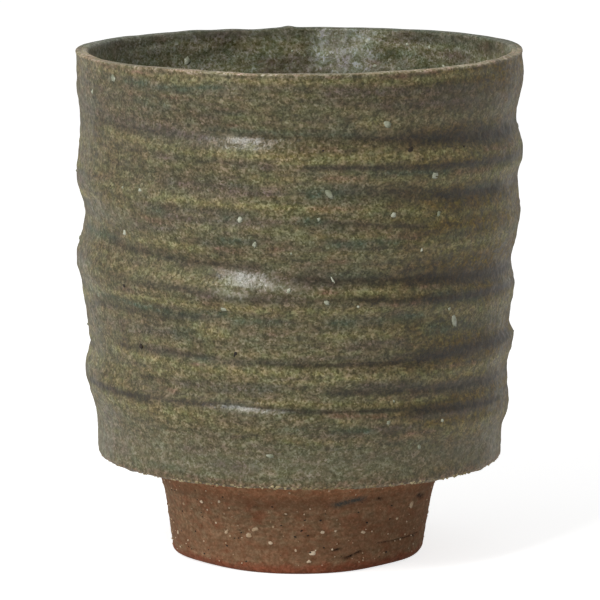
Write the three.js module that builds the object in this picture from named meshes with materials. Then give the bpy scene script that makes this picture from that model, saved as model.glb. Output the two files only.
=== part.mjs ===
// A hand-thrown stoneware tea cup without a handle: a ridged, nearly straight wall on a tall foot ring.
// Millimetres, +Z up. The origin is the centre of the circle that the cup stands on, and -Y is its front.
// Angles are taken round the axis from the front, growing towards +X, the right side.

import * as THREE from 'three';

const { euclideanModulo, lerp, radToDeg, smoothstep } = THREE.MathUtils;

// The thrown body
const CUP_HEIGHT = 91.6; // at the highest place of the lip
const RIM_RADIUS = 40.1;
const CORNER_RADIUS = 36.55; // outside, where the wall ends at the lower edge
const WALL_FULLNESS = 1.9; // the higher, the sooner the wall swells out to the rim's radius
const LIP_THICKNESS = 2.1;
const LIP_ROUND = 0.6; // height of the rounded top of the lip
// How far the lip sinks below its highest place, by degrees round the cup
const LIP_SINKS = [[0, 0.12], [90, 0], [205, 0.6], [300, 0.1], [360, 0.12]];
const WALL_THICKNESS = 3.8; // at the floor, with both coats of glaze
const FLOOR_THICKNESS = 6;
const FLOOR_FILLET = 8;
const BEVEL_WIDTH = 0.4; // the lower edge is worn to a narrow bevel
const BEVEL_HEIGHT = 0.5;
const EDGE_LIFT = 0.5; // the lower edge lies this much above the seat of the foot
const EDGE_TILT = 0.3; // and rises this much more on the left, where it was cut by hand
const GLAZE_THICKNESS = 0.5;

// The foot ring and the slip that joins it to the body
const FOOT_HEIGHT = 17.2;
const FOOT_EDGE_RADIUS = 22.8;
const FOOT_EDGE_ROUND = 1.3;
const FOOT_WAIST_HEIGHT = 10.5;
const FOOT_TAPER = 1.4; // how far the foot widens from its edge to its waist
const FOOT_FLARE = 2.6; // and from its waist to its top
const FOOT_BORE_RADIUS = 17.6;
const FOOT_BORE_TAPER = 0.9;
const FOOT_OFF_CENTRE = 0.3; // the foot sits this far to the left of the body's axis
const SLIP_THICKNESS = 0.4;
const SEAT_MARGIN = 1; // flat clay left round the foot

// Throwing ridges as the left side, the front and the right side of the wall show them, from the lip down.
// Each pair is a crest or a hollow: its depth below the lip, and how far it swells out of the plain wall.
const LEFT_RIDGES = [
  [0, 0.1], [6.4, 0], [9.9, -0.3], [14.9, -0.35], [22.4, 0.45], [29.4, -0.85], [37.9, 1.2],
  [41.9, 0.4], [44.4, 0.3], [52.4, -0.25], [58.1, 1.05], [66.4, -0.45], [72.9, 0],
];
const FRONT_RIDGES = [
  [0, 0.05], [4.4, 0.2], [10.9, -0.6], [14.9, 0.4], [20.9, -0.25], [28.9, 0.3], [35.5, -0.85], [39.7, 0.85],
  [43.4, -0.1], [46.9, 0.15], [50.4, -0.15], [53.4, 0.2], [57.4, -0.3], [60.4, 0.75], [69.9, -0.3], [72.9, 0],
];
const RIGHT_RIDGES = [
  [0, 0.1], [4.4, 0.35], [11.9, -0.75], [18.4, 0.5], [22.9, -0.25], [29.9, 0.5], [38, -0.6],
  [42.4, 0.15], [48.9, -0.4], [51.9, 0.7], [56.9, -0.15], [63.9, 0.75], [68.9, -0.1], [73.4, 0.1],
];
const RIDGED_SIDES = [
  { angle: -Math.PI / 2, ridges: LEFT_RIDGES },
  { angle: 0, ridges: FRONT_RIDGES },
  { angle: Math.PI / 2, ridges: RIGHT_RIDGES },
];
const RIDGE_CHANGE = [0.25, 0.75]; // the part of the way between two sides where their ridges change
const SPIRAL_LEAD = 10; // how far a ridge sinks in one turn to the right
const INSIDE_RIDGE_SHARE = 0.35; // how much of a ridge shows inside the cup

// Fineness of the surfaces
const TURN_STEPS = 36;
const WALL_ROWS = 28;
const LINING_ROWS = 16;
const LIP_STEPS = 3;
const FILLET_STEPS = 4;
const FOOT_CURVE_STEPS = 3;

// Heights and radii that follow from the sizes above
const SEAT_HEIGHT = FOOT_HEIGHT + SLIP_THICKNESS;
const CORNER_HEIGHT = SEAT_HEIGHT + EDGE_LIFT + BEVEL_HEIGHT;
const FLOOR_HEIGHT = SEAT_HEIGHT + FLOOR_THICKNESS;
const FOOT_WAIST_RADIUS = FOOT_EDGE_RADIUS + FOOT_TAPER;
const FOOT_TOP_RADIUS = FOOT_WAIST_RADIUS + FOOT_FLARE;
const FOOT_BORE_TOP_RADIUS = FOOT_BORE_RADIUS + FOOT_BORE_TAPER;
const QUARTER_TURN = Math.PI / 2;
const FULL_TURN = 2 * Math.PI;

// The value at a place on the smooth curve through pairs of a place and its value.
function valueAt(pairs, place) {
  const next = pairs.findIndex(([start]) => start > place);
  if (next === 0) return pairs[0][1];
  if (next < 0) return pairs.at(-1)[1];
  const [before, valueBefore] = pairs[next - 1];
  const [after, valueAfter] = pairs[next];
  return lerp(valueBefore, valueAfter, smoothstep(place, before, after));
}

// The ridges wind down to the right, and between two sides they change from the one's into the other's.
function swell(angle, height) {
  const depth = CUP_HEIGHT - height;
  const first = RIDGED_SIDES[0].angle;
  const turned = euclideanModulo(angle - first, FULL_TURN);
  const index = RIDGED_SIDES.findLastIndex((side) => side.angle - first <= turned);
  const last = RIDGED_SIDES[index];
  const coming = RIDGED_SIDES[(index + 1) % RIDGED_SIDES.length];
  const gone = turned - (last.angle - first);
  const span = euclideanModulo(coming.angle - last.angle, FULL_TURN);
  const sinkPerAngle = SPIRAL_LEAD / FULL_TURN;
  const swellGone = valueAt(last.ridges, depth - gone * sinkPerAngle);
  const swellComing = valueAt(coming.ridges, depth + (span - gone) * sinkPerAngle);
  return lerp(swellGone, swellComing, smoothstep(gone / span, ...RIDGE_CHANGE));
}

// 0 at the lip and 1 at the lower corner
function wayDown(height) {
  return Math.max(0, (CUP_HEIGHT - height) / (CUP_HEIGHT - CORNER_HEIGHT));
}

function plainRadius(height) {
  return RIM_RADIUS - (RIM_RADIUS - CORNER_RADIUS) * wayDown(height) ** WALL_FULLNESS;
}

function outsideRadius(angle, height) {
  return plainRadius(height) + swell(angle, height);
}

function insideRadius(angle, height) {
  const thickness = lerp(LIP_THICKNESS, WALL_THICKNESS, Math.sqrt(wayDown(height)));
  return plainRadius(height) - thickness + INSIDE_RIDGE_SHARE * swell(angle, height);
}

function lipStart(angle) {
  return CUP_HEIGHT - valueAt(LIP_SINKS, radToDeg(angle)) - LIP_ROUND;
}

function cornerHeight(angle) {
  return CORNER_HEIGHT - EDGE_TILT * Math.sin(angle);
}

// One half of the lip's round top, from its side, 1 outside or -1 inside, up to its crown.
function lipArc(angle, depth, side) {
  const start = lipStart(angle);
  const outside = outsideRadius(angle, start);
  const inside = insideRadius(angle, start);
  const crown = (outside + inside) / 2;
  const halfWidth = (outside - inside) / 2 - depth;
  return Array.from({ length: LIP_STEPS + 1 }, (_, step) => {
    const turn = (QUARTER_TURN * step) / LIP_STEPS;
    const radius = crown + side * halfWidth * Math.cos(turn);
    return new THREE.Vector2(radius, start + (LIP_ROUND - depth) * Math.sin(turn));
  });
}

// The outside of the wall at a depth under its finished surface, from the lower edge up to the lip's crown.
function outsideLine(angle, depth) {
  const corner = cornerHeight(angle);
  const edgeRadius = outsideRadius(angle, corner) - BEVEL_WIDTH;
  const line = [new THREE.Vector2(edgeRadius - depth, corner - BEVEL_HEIGHT)];
  for (let row = 0; row < WALL_ROWS; row += 1) {
    const height = lerp(corner, lipStart(angle), row / WALL_ROWS);
    line.push(new THREE.Vector2(outsideRadius(angle, height) - depth, height));
  }
  return [...line, ...lipArc(angle, depth, 1)];
}

// The inside of the cup at a depth under its finished surface, from the lip's crown down to the floor's centre.
function insideLine(angle, depth) {
  const line = lipArc(angle, depth, -1).reverse();
  const filletTop = FLOOR_HEIGHT + FLOOR_FILLET;
  for (let row = 1; row <= LINING_ROWS; row += 1) {
    const height = lerp(lipStart(angle), filletTop, row / LINING_ROWS);
    line.push(new THREE.Vector2(insideRadius(angle, height) + depth, height));
  }
  const filletCentre = insideRadius(angle, filletTop) - FLOOR_FILLET;
  const filletRadius = FLOOR_FILLET + depth;
  for (let step = 1; step <= FILLET_STEPS; step += 1) {
    const turn = (QUARTER_TURN * step) / FILLET_STEPS;
    const radius = filletCentre + filletRadius * Math.cos(turn);
    line.push(new THREE.Vector2(radius, filletTop - filletRadius * Math.sin(turn)));
  }
  return [...line, new THREE.Vector2(0, FLOOR_HEIGHT - depth)];
}

// A closed surface through the outlines that outlineAt gives round the axis, each counter-clockwise.
// A quad is split by the same diagonal whichever way its outline runs, so that two pieces which share
// a line also share every triangle of the surface between them.
function thrownGeometry(outlineAt) {
  const outlines = Array.from({ length: TURN_STEPS }, (_, step) => outlineAt((FULL_TURN * step) / TURN_STEPS));
  const rows = outlines[0].length;
  const positions = outlines.flatMap((outline, step) => {
    const angle = (FULL_TURN * step) / TURN_STEPS;
    return outline.flatMap(({ x, y }) => [x * Math.sin(angle), -x * Math.cos(angle), y]);
  });
  const triangles = [];
  for (let step = 0; step < TURN_STEPS; step += 1) {
    for (let row = 0; row < rows - 1; row += 1) {
      const here = step * rows + row;
      const beside = ((step + 1) % TURN_STEPS) * rows + row;
      const rising = outlines[0][row + 1].y > outlines[0][row].y;
      triangles.push(...(rising
        ? [here, beside, here + 1, beside + 1, here + 1, beside]
        : [here, beside, beside + 1, here, beside + 1, here + 1]));
    }
  }
  const geometry = new THREE.BufferGeometry();
  geometry.setAttribute('position', new THREE.Float32BufferAttribute(positions, 3));
  geometry.setIndex(triangles);
  geometry.computeVertexNormals();
  return geometry;
}

function roundGeometry(outline) {
  return new THREE.LatheGeometry(outline, TURN_STEPS).rotateX(QUARTER_TURN);
}

function piece(name, geometry, colour, roughness) {
  const material = new THREE.MeshStandardMaterial({ color: colour, roughness, metalness: 0 });
  const mesh = new THREE.Mesh(geometry, material);
  mesh.name = name;
  return mesh;
}

// The thrown pot of bare clay: seat for the foot, wall, lip and floor.
function clayBody() {
  const outlineAt = (angle) => [
    new THREE.Vector2(0, SEAT_HEIGHT),
    new THREE.Vector2(FOOT_TOP_RADIUS + SEAT_MARGIN, SEAT_HEIGHT),
    ...outsideLine(angle, GLAZE_THICKNESS),
    ...insideLine(angle, GLAZE_THICKNESS).slice(1),
  ];
  return piece('clay_body', thrownGeometry(outlineAt), 0x75553d, 0.9);
}

// The coat outside, from the crown of the lip to the lower edge.
function outerGlaze() {
  const outlineAt = (angle) => {
    const face = outsideLine(angle, 0);
    return [...face, ...outsideLine(angle, GLAZE_THICKNESS).reverse(), face[0]];
  };
  return piece('outer_glaze', thrownGeometry(outlineAt), 0x625d48, 0.5);
}

// The coat inside, from the crown of the lip over the whole floor.
function innerGlaze() {
  const outlineAt = (angle) => [
    ...insideLine(angle, GLAZE_THICKNESS).reverse(),
    ...insideLine(angle, 0),
  ];
  return piece('inner_glaze', thrownGeometry(outlineAt), 0x5a5744, 0.45);
}

// The ring that the cup stands on, rounded at its worn edge and flared to the body.
function footRing() {
  const outline = new THREE.Path();
  outline.moveTo(FOOT_BORE_RADIUS, 0);
  outline.lineTo(FOOT_EDGE_RADIUS - FOOT_EDGE_ROUND, 0);
  outline.quadraticCurveTo(FOOT_EDGE_RADIUS, 0, FOOT_EDGE_RADIUS, FOOT_EDGE_ROUND);
  outline.lineTo(FOOT_WAIST_RADIUS, FOOT_WAIST_HEIGHT);
  const flareTurn = (FOOT_WAIST_HEIGHT + FOOT_HEIGHT) / 2;
  outline.quadraticCurveTo(FOOT_WAIST_RADIUS + FOOT_FLARE / 3, flareTurn, FOOT_TOP_RADIUS, FOOT_HEIGHT);
  outline.lineTo(FOOT_BORE_TOP_RADIUS, FOOT_HEIGHT);
  outline.closePath();
  return piece('foot_ring', roundGeometry(outline.getPoints(FOOT_CURVE_STEPS)), 0x664d39, 0.9);
}

// The thin bed of clay slip between the foot ring and its seat under the body.
function lutingSlip() {
  const outline = new THREE.Path();
  outline.moveTo(FOOT_BORE_TOP_RADIUS, FOOT_HEIGHT);
  outline.lineTo(FOOT_TOP_RADIUS, FOOT_HEIGHT);
  outline.lineTo(FOOT_TOP_RADIUS, SEAT_HEIGHT);
  outline.lineTo(FOOT_BORE_TOP_RADIUS, SEAT_HEIGHT);
  outline.closePath();
  return piece('luting_slip', roundGeometry(outline.getPoints()), 0x6b4b36, 0.95);
}

const foot = new THREE.Group();
foot.position.x = -FOOT_OFF_CENTRE;
foot.add(footRing(), lutingSlip());

const cup = new THREE.Group();
cup.add(clayBody(), outerGlaze(), innerGlaze(), foot);

export default cup;
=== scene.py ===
"""A hand-thrown stoneware tea cup: a ridged wall under mottled ash glaze, on a foot ring of bare clay.

Sizes are in millimetres, and meshes are made in metres. Angles go round the cup's axis from its front, -Y,
and grow towards +X, the right side.
"""

import math

import bpy
import numpy as np
from mathutils import Euler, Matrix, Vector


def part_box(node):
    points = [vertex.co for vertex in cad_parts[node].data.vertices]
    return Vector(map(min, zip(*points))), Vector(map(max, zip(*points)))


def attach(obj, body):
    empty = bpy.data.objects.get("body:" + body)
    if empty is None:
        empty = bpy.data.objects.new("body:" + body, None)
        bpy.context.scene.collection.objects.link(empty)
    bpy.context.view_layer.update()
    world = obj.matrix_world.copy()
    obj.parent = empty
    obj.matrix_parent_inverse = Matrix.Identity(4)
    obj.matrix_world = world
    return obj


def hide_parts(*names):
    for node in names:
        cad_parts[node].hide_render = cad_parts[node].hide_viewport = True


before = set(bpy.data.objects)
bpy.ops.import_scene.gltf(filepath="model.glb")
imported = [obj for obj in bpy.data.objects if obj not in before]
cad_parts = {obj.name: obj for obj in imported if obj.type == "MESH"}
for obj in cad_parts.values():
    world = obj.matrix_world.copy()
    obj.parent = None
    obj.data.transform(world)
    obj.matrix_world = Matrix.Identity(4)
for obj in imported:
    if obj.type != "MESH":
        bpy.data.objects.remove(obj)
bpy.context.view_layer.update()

MM = 0.001
FULL_TURN = 2 * math.pi
QUARTER_TURN = math.pi / 2


def top_of(node):
    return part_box(node)[1].z / MM


# Sizes that the frame gives
CUP_HEIGHT = top_of("outer_glaze")
FOOT_HEIGHT = top_of("foot_ring")
SEAT_HEIGHT = top_of("luting_slip")
FOOT_LEFT, FOOT_RIGHT = (corner.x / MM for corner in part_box("foot_ring"))
FOOT_CENTRE = (FOOT_LEFT + FOOT_RIGHT) / 2
FOOT_TOP_RADIUS = (FOOT_RIGHT - FOOT_LEFT) / 2

# The thrown body, as the solids have it
RIM_RADIUS = 40.1
CORNER_RADIUS = 36.55
CORNER_LIFT = 1.0  # of the wall's lower corner over the foot
WALL_FULLNESS = 1.9
LIP_THICKNESS = 2.1
LIP_ROUND = 0.6
LIP_SQUARENESS = 0.6  # 1 makes the lip's top half an ellipse, and less makes it flatter
LIP_SINKS = ((0, 0.12), (90, 0), (205, 0.6), (300, 0.1), (360, 0.12))  # by degrees round the cup
WALL_THICKNESS = 3.8
FLOOR_THICKNESS = 6.0
FLOOR_FILLET = 8.0
BEVEL_WIDTH = 0.4
BEVEL_HEIGHT = 0.5
EDGE_TILT = 0.3
GLAZE_THICKNESS = 0.5
INSIDE_RIDGE_SHARE = 0.35
SEAT_MARGIN = 1.0
CORNER_HEIGHT = SEAT_HEIGHT + CORNER_LIFT
FLOOR_HEIGHT = SEAT_HEIGHT + FLOOR_THICKNESS
WALL_MM_PER_DEGREE = FULL_TURN * RIM_RADIUS / 360

# The foot ring, as the solid has it
FOOT_EDGE_RADIUS = 22.6
FOOT_EDGE_ROUND = 1.3
FOOT_WAIST_HEIGHT = 10.5
FOOT_WAIST_RADIUS = 24.1
FOOT_FLARE_START = 8.0
FOOT_FLARE_CURVE = 2.4
FOOT_LEAN = 0.3  # how far its top lies to the right of its base
FOOT_BORE_RADIUS = 17.6
FOOT_BORE_TOP_RADIUS = 18.5
FOOT_MM_PER_DEGREE = FULL_TURN * FOOT_WAIST_RADIUS / 360

# Throwing ridges of the left side, the front and the right side: depth below the lip, swell of the wall
LEFT_RIDGES = (
    (0, 0.1), (6.4, 0), (9.9, -0.3), (14.9, -0.35), (22.4, 0.45), (29.4, -0.85), (37.9, 1.2),
    (41.9, 0.4), (44.4, 0.3), (52.4, -0.25), (58.1, 1.05), (66.4, -0.45), (72.9, 0),
)
FRONT_RIDGES = (
    (0, 0.05), (4.4, 0.2), (10.9, -0.6), (14.9, 0.4), (20.9, -0.25), (28.9, 0.3), (35.5, -0.85),
    (39.7, 0.85), (43.4, -0.1), (46.9, 0.15), (50.4, -0.15), (53.4, 0.2), (57.4, -0.3), (60.4, 0.75),
    (69.9, -0.3), (72.9, 0),
)
RIGHT_RIDGES = (
    (0, 0.1), (4.4, 0.35), (11.9, -0.75), (18.4, 0.5), (22.9, -0.25), (29.9, 0.5), (38, -0.6),
    (42.4, 0.15), (48.9, -0.4), (51.9, 0.7), (56.9, -0.15), (63.9, 0.75), (68.9, -0.1), (73.4, 0.1),
)
RIDGED_SIDES = ((-QUARTER_TURN, LEFT_RIDGES), (0.0, FRONT_RIDGES), (QUARTER_TURN, RIGHT_RIDGES))
RIDGE_CHANGE = (0.25, 0.75)  # the part of the way to the next side where they change
SPIRAL_LEAD = 10.0
# Where a finger strayed upwards: angle in degrees, half width, height, half height, how far
FINGER_SLIP = (-15, 13, 57.5, 6, 0.9)
# Unevenness of the lip's height: angle in degrees, half width, rise
LIP_LUMPS = ((183, 1.6, 0.3), (193, 7, -0.25), (-33, 12, 0.2), (101, 10, 0.2), (140, 9, 0.15))
# Where the foot's lower edge is worn rounder: angle in degrees, half width, how much rounder
FOOT_WEAR = ((-52, 26, 1.4), (46, 20, 1.3))

# Waves that make a surface uneven: the first seed, then the depth, patches round the cup and patch height
WAVES = {
    "lip": (31, (0.08, 60, 100), (0.06, 23, 100)), "lip wear": (33, (0.25, 70, 50), (0.3, 29, 50)),
    "lower edge": (21, (0.2, 90, 50)), "foot": (51, (0.05, 6, 0.6), (0.06, 20, 2.4), (0.03, 180, 0.7)),
    "foot wear": (54, (0.25, 9, 50)), "bore": (55, (0.05, 12, 1.1)), "slip": (61, (0.25, 50, 50)),
    "change of marks": (22, (9, 30, 3)),  # depth in degrees
}
THROWING_LINES = ((0.06, 8, 0.7), (0.06, 12, 1.5), (0.05, 26, 3.1))
THROWING_LUMPS = ((0.05, 110, 1.7), (0.07, 60, 3))
LINE_SLANT = 1.5  # how far the throwing lines rise to one side

# Relief of the surfaces
MARK_RELIEF = {"yellow": 0.06, "dark": -0.09, "teal": -0.04, "ledge": -0.2}
WALL_INSET = 0.2  # how far the wall's even surface lies inside the solid's
DEEPEST_RELIEF = -0.36  # so that the clay stays covered
FOOT_PIT_DEPTH = 0.3
FOOT_CALM_BASE = 0.8  # heights at its base and its top where it gets even
FOOT_CALM_TOP = 0.4
FOOT_INSET = 0.05
# Rings that the fingers left in the floor, and the tool under it: depth, pitch, fade at the middle
FINGER_RINGS = (0.12, 5, 4)
TOOL_RINGS = (0.1, 3.2, 3)
SLIP_BEAD = 0.35  # how far the slip was squeezed out of the joint, and its share on the inside
SLIP_BEAD_INSIDE = 0.6

# Marks in the glaze of the front half: first and last angle in degrees, height at each,
# half of the mark's own height, strength. The sides and the back have the same marks, turned and shifted.
# The dark marks are glaze pooled in the grooves and partly painted shade under the ridges, most on the right
# side.
WALL_MARKS = {}
WALL_MARKS["dark"] = (
    (-22, 26, 80.9, 79.7, 0.8, 0.45), (16, 28, 80.2, 79.2, 1, 0.75), (28, 68, 79.6, 78.3, 1.4, 1),
    (2, 36, 75.3, 74.7, 0.45, 0.75), (36, 68, 74.6, 73.7, 0.6, 0.9), (14, 44, 70.7, 69.7, 1, 0.65),
    (-40, -12, 67.5, 67, 0.5, 0.35), (8, 33, 65.6, 64, 0.4, 0.6), (-58, -38, 59.7, 58.4, 0.9, 0.65),
    (-38, -12, 58.3, 57.3, 0.7, 0.65), (0, 30, 55.5, 54.7, 0.9, 0.8), (30, 68, 54.7, 53.4, 1.6, 1),
    (-56, -22, 53.6, 53, 0.6, 0.5), (-18, 14, 52.1, 51.9, 0.5, 0.55), (14, 36, 52, 51.1, 0.6, 0.8),
    (36, 68, 51, 50.4, 0.9, 1), (-64, -24, 48.2, 48.2, 0.7, 0.55), (-56, -36, 41.4, 41.5, 0.6, 0.6),
    (-36, 0, 41.5, 40.5, 0.4, 0.65), (0, 34, 40.4, 40.4, 0.5, 0.85), (34, 68, 40.8, 41.3, 1.4, 1),
    (-49, -39, 36.5, 36.3, 0.5, 0.6), (10, 64, 35.5, 34.2, 0.8, 0.75), (-72, -44, 33, 32.8, 0.7, 0.9),
    (-44, -24, 33, 33, 0.5, 0.85), (-24, 0, 33.3, 32.3, 0.3, 0.85), (0, 32, 32.2, 31.7, 0.4, 0.85),
    (32, 68, 31.3, 30.2, 0.9, 1), (-22, 8, 25.3, 25.2, 0.15, 0.4), (-62, -34, 80.8, 80.3, 0.9, 0.5),
    # The first and last marks on the next line are broad and make the top of the wall darker
    (-70, 70, 86, 85.5, 6, 0.13), (38, 68, 69.2, 68.6, 1, 0.95), (-72, -24, 80, 79, 8, 0.2),
)
WALL_MARKS["teal"] = (
    (-58, -53, 88.8, 88.8, 0.6, 0.7), (-48, -42, 88.9, 88.7, 0.7, 0.9), (-38, -33, 88.4, 88.5, 0.6, 0.9),
    (-31, -27, 88.3, 88.3, 0.8, 0.7), (-25, -20, 88.8, 88.8, 0.5, 0.8), (-43, -37, 86, 85.5, 1.5, 0.5),
    (-20, -15, 84.4, 84.3, 0.4, 0.5), (-23, 15, 81.6, 80.7, 0.6, 0.6), (52, 62, 78.7, 78.3, 1.5, 0.6),
    (20, 40, 74.1, 73.3, 0.6, 0.7), (42, 68, 74, 73.2, 0.6, 0.5), (-18, -14, 72, 72, 0.5, 0.5),
    (3, 5, 70.7, 70.7, 1, 0.9), (9, 13, 70.8, 70.7, 1, 1), (50, 61, 69.6, 69.3, 0.7, 0.8),
    (-43, -38, 66.5, 66.5, 0.7, 0.5), (-19, -16, 66.2, 66.2, 0.8, 0.6), (2, 5, 66, 66, 0.8, 0.8),
    (20, 25, 66.9, 66.7, 0.6, 0.5), (-24, -20, 61.5, 61.5, 0.7, 0.7), (-19, -13, 62.2, 62.2, 0.8, 0.8),
    (10, 17, 61.8, 61.8, 0.9, 0.7), (19, 25, 61.8, 61.8, 0.8, 0.6), (43, 46, 62, 62, 1, 0.5),
    (-68, -58, 60.4, 60.1, 0.9, 0.7), (-38, -33, 58.3, 58.2, 0.5, 0.6), (8, 18, 55.8, 55.6, 1, 0.6),
    (38, 53, 51.3, 50.4, 1.1, 0.9), (-62, -52, 49.9, 49.7, 0.8, 0.7), (-50, -28, 49.2, 48.4, 0.7, 0.9),
    (-25, -20, 49.3, 49.2, 0.6, 0.8), (-17, -4, 48.1, 48, 0.7, 0.6), (9, 13, 47.8, 47.8, 0.8, 0.8),
    (18, 22, 48, 48, 0.6, 0.6), (27, 33, 48.4, 48.3, 0.7, 0.8), (-34, -29, 45.6, 45.4, 1.6, 0.6),
    (37, 42, 45.6, 45.4, 1.6, 0.6), (47, 62, 45.5, 45, 1.6, 0.5), (-28, -24, 41.1, 41.1, 0.5, 0.8),
    (-7, -3, 40.7, 40.7, 0.5, 0.7), (38, 48, 40.9, 40.9, 0.5, 0.8), (55, 63, 40.9, 41, 0.5, 0.6),
    (-12, -8, 36, 36, 0.8, 0.4), (5, 10, 35.6, 35.4, 0.7, 0.4), (48, 56, 34.4, 34.2, 0.7, 0.5),
    (-20, -15, 33.1, 33, 0.3, 0.8), (-4, 5, 32.3, 32.1, 0.4, 0.9), (17, 24, 31.9, 31.8, 0.4, 0.8),
    (-4, 0, 29.1, 29, 0.7, 0.5), (10, 18, 28.7, 28.4, 0.7, 0.7), (28, 36, 25.6, 25.5, 0.6, 0.5),
    (-45, -35, 20.7, 20.6, 0.6, 0.4),
)
WALL_MARKS["yellow"] = (
    (-62, 55, 90.2, 90.1, 0.6, 0.6), (-34, -24, 89.6, 89.6, 0.8, 0.6), (22, 40, 89.8, 89.8, 0.6, 0.7),
    (-58, -30, 79.3, 77.6, 0.8, 0.6), (-30, 0, 77.6, 77, 0.8, 0.7), (-30, -24, 77.6, 77.5, 0.5, 0.7),
    (0, 48, 77.1, 76.7, 0.9, 0.7), (-6, 30, 76.1, 76.2, 0.4, 0.6), (-40, -30, 75.2, 75, 0.8, 0.4),
    (-38, -28, 69, 68.8, 0.7, 0.8), (-28, 12, 68.7, 67.7, 0.6, 0.9), (12, 34, 67.6, 66.6, 0.6, 0.7),
    (-52, -46, 69.5, 69.3, 0.8, 0.4), (-30, 0, 64.4, 64.2, 0.6, 0.4), (-50, -45, 61, 60.8, 0.8, 0.5),
    (-38, -28, 60.7, 60.4, 0.9, 0.6), (8, 50, 59.6, 58.8, 0.8, 0.35), (-52, -36, 55.7, 55.6, 1.1, 0.3),
    (-36, -18, 55.3, 54.7, 0.9, 0.45), (5, 46, 53.4, 52.6, 0.5, 0.65), (-20, 21, 50.4, 49.8, 0.8, 0.85),
    (-27, -21, 46.2, 45.8, 1.2, 0.9), (8, 25, 45.6, 45.4, 0.8, 0.5), (-45, -34, 43.2, 43, 0.6, 0.5),
    (-24, 10, 42.3, 42.2, 0.6, 0.4), (-58, -30, 40.4, 39.3, 0.8, 0.7), (-30, 10, 39.3, 38.8, 0.7, 0.8),
    (8, 58, 37.9, 37.4, 0.8, 0.75), (-45, -34, 38, 37.9, 0.7, 0.6), (-30, 30, 37.6, 37.3, 0.5, 0.4),
    (-10, 42, 33.7, 32.8, 0.5, 0.55), (-62, -25, 31.4, 30.6, 1.2, 0.5), (10, 15, 30.3, 30.2, 0.5, 0.7),
    (-13, -9, 28.6, 28.5, 0.5, 0.5), (-3, 9, 26.7, 26.5, 0.5, 0.6), (38, 52, 26.8, 26.7, 0.6, 0.4),
    (-66, -36, 50.4, 50.8, 0.7, 0.8), (-36, -24, 50.8, 50, 0.7, 0.7), (-12, 2, 73.2, 73.3, 0.6, 0.5),
    (2, 56, 73.2, 71.8, 0.6, 0.5), (0, 24, 63.3, 62.9, 0.7, 0.45), (17, 66, 82.9, 82.5, 1.2, 0.7),
    (36, 66, 76.2, 75.6, 0.7, 0.6), (36, 68, 71.9, 71.6, 1.2, 0.8), (36, 66, 65.5, 65.5, 0.9, 0.4),
    (34, 66, 60.4, 60.1, 1.4, 0.6), (34, 66, 48.7, 47.2, 1.3, 0.75), (34, 66, 37.2, 37.5, 1.3, 0.65),
    (34, 64, 26.9, 26.9, 1.2, 0.5),
)
WALL_MARKS["grey"] = (
    (8, 48, 88.3, 87.6, 1.1, 0.7), (22, 50, 86, 85.4, 1.2, 0.6), (-22, 0, 89, 88.8, 0.6, 0.5),
    (-64, -46, 82.2, 81.4, 1.1, 0.6), (-48, -24, 81.4, 80.1, 1.2, 0.8), (-38, -33, 76.2, 76, 0.6, 0.6),
    (-15, -8, 75.5, 75.4, 0.7, 0.7), (-34, -14, 71.8, 71.3, 1.1, 0.6), (-17, -6, 70.8, 70.7, 0.6, 0.9),
    (-45, -14, 67.2, 66.9, 0.5, 0.5), (-36, -8, 65.7, 65.3, 0.9, 0.6), (-46, -34, 63.9, 63.6, 0.8, 0.6),
    (8, 30, 64.6, 64.2, 0.6, 0.4), (-14, 8, 56.2, 55, 1.1, 0.7), (-25, 0, 52.4, 52.3, 0.6, 0.7),
    (-62, -34, 45.3, 44.7, 1.4, 0.45), (14, 28, 44.1, 43.8, 0.8, 0.5), (-42, -24, 41.9, 41.4, 0.6, 0.6),
    (0, 30, 41.6, 41.5, 0.5, 0.5), (-34, -8, 36.2, 35.8, 0.9, 0.6), (18, 34, 36.3, 36.1, 0.9, 0.6),
    (34, 62, 34.8, 34.2, 1.2, 0.6), (34, 52, 30.8, 30, 0.8, 0.7), (20, 33, 28.8, 28.5, 0.6, 0.6),
    (-31, -27, 24.6, 24.4, 1, 0.4), (-23, -14, 22.2, 21.8, 1.2, 0.6), (-70, -58, 22.4, 22, 1.5, 0.4),
    # These two broad marks make the top of the wall darker
    (-66, -24, 85, 84, 4, 0.3), (26, 68, 84.5, 83.5, 4, 0.35),
)
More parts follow.
